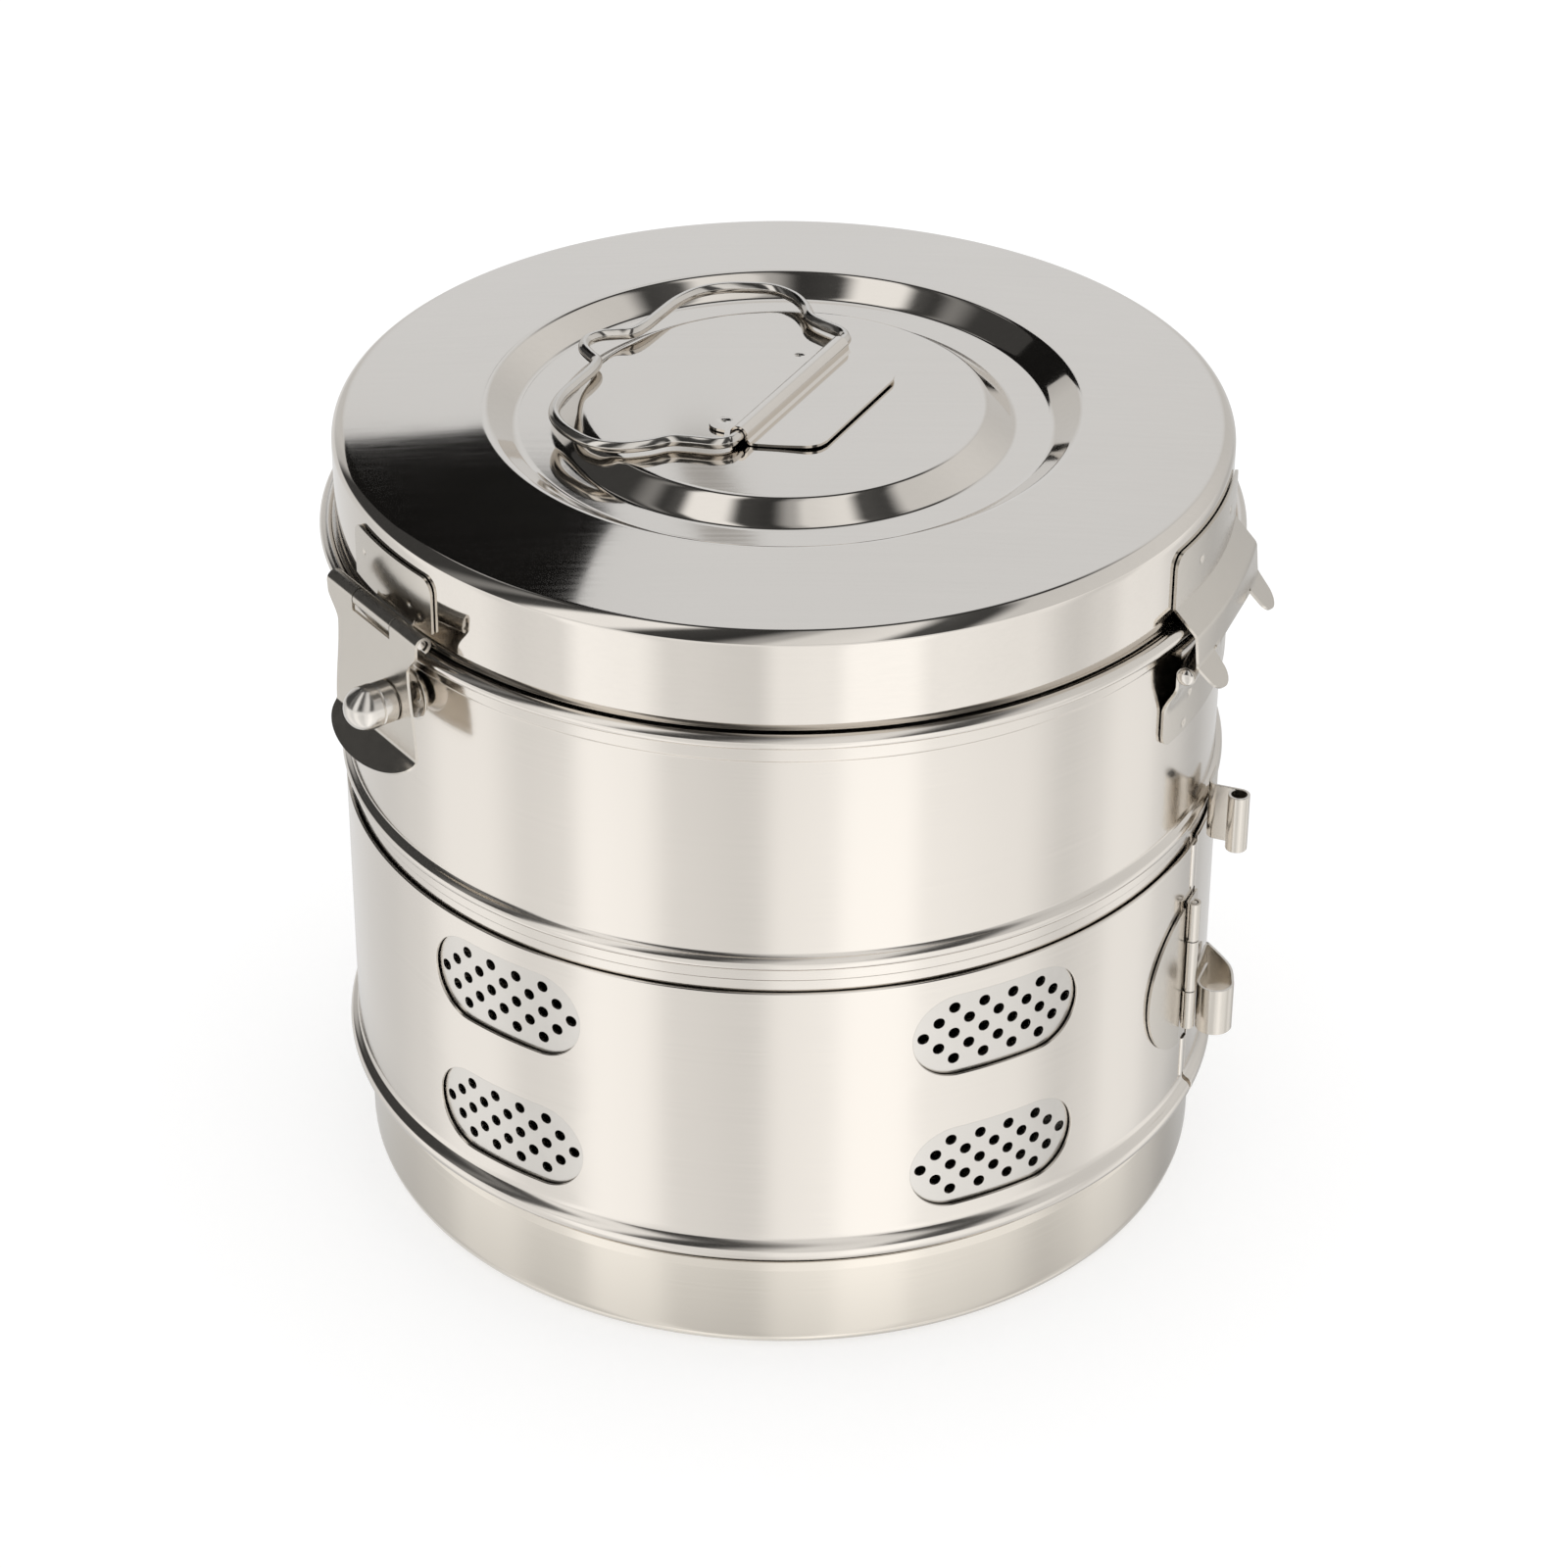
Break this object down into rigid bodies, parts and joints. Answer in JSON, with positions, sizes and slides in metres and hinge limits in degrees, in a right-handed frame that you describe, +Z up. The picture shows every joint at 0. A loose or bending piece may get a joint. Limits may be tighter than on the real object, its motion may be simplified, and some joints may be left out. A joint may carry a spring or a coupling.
{
  "type": "sterilization drum",
  "caption": "Round stainless-steel dressing drum with a hinged lid, latch, wire bail and a turning vent band for steam sterilization.",
  "frame": {"origin": "centre of the flat underside that the drum stands on", "axes": "+Z up along the drum's axis; the front is -Y, with the latch at the left of the front and the hinge at the right"},
  "size_m": [0.2559, 0.2488, 0.2325],
  "materials": {
    "satin_steel": "satin stainless steel",
    "stamped_steel": "stamped and tumbled stainless steel",
    "bright_steel": "polished stainless steel",
    "steel_wire": "drawn and polished stainless wire"
  },
  "bodies": {
    "drum": {"drum_shell": "satin_steel", "base_pan": "satin_steel", "vent_screen_1": "satin_steel", "vent_screen_2": "satin_steel", "vent_screen_3": "satin_steel", "vent_screen_4": "satin_steel", "vent_screen_5": "satin_steel", "vent_screen_6": "satin_steel", "vent_screen_7": "satin_steel", "vent_screen_8": "satin_steel", "vent_screen_9": "satin_steel", "vent_screen_10": "satin_steel", "latch_keeper": "bright_steel", "hinge_body_plate": "stamped_steel", "hinge_pin": "steel_wire", "seal_eye": "stamped_steel"},
    "lid": {"lid_shell": "satin_steel", "handle_saddle": "stamped_steel", "latch_lid_plate": "stamped_steel", "latch_pin": "steel_wire", "hinge_lid_plate": "stamped_steel"},
    "bail": {"bail_handle": "steel_wire"},
    "hasp": {"hasp_plate": "stamped_steel", "hasp_knob": "bright_steel", "snap_spring": "steel_wire"},
    "band": {"vent_band": "satin_steel", "clasp_plate": "stamped_steel", "clasp_pin": "steel_wire"},
    "clasp": {"clasp_leaf": "stamped_steel"}
  },
  "joints": [
    {"name": "lid_hinge", "type": "hinge", "parent": "drum", "child": "lid", "pos_m": [0.11432, -0.04388, 0.1842], "axis": [0.3584, 0.9336, 0], "range_deg": [0, 78.5]},
    {"name": "hasp_hinge", "type": "hinge", "parent": "lid", "child": "hasp", "pos_m": [-0.10321, -0.0728, 0.2038], "axis": [-0.5764, 0.8171, 0], "range_deg": [0, 160]},
    {"name": "bail_hinge", "type": "hinge", "parent": "lid", "child": "bail", "pos_m": [0.0017, 0.0021, 0.2294], "axis": [0.454, 0.891, 0], "range_deg": [0, 95]},
    {"name": "band_turn", "type": "hinge", "parent": "drum", "child": "band", "pos_m": [0, 0, 0.076], "axis": [0, 0, 1], "range_deg": [0, 33]},
    {"name": "clasp_hinge", "type": "hinge", "parent": "band", "child": "clasp", "pos_m": [0.11174, -0.05116, 0.08165], "axis": [0, 0, -1], "range_deg": [0, 100]}
  ]
}
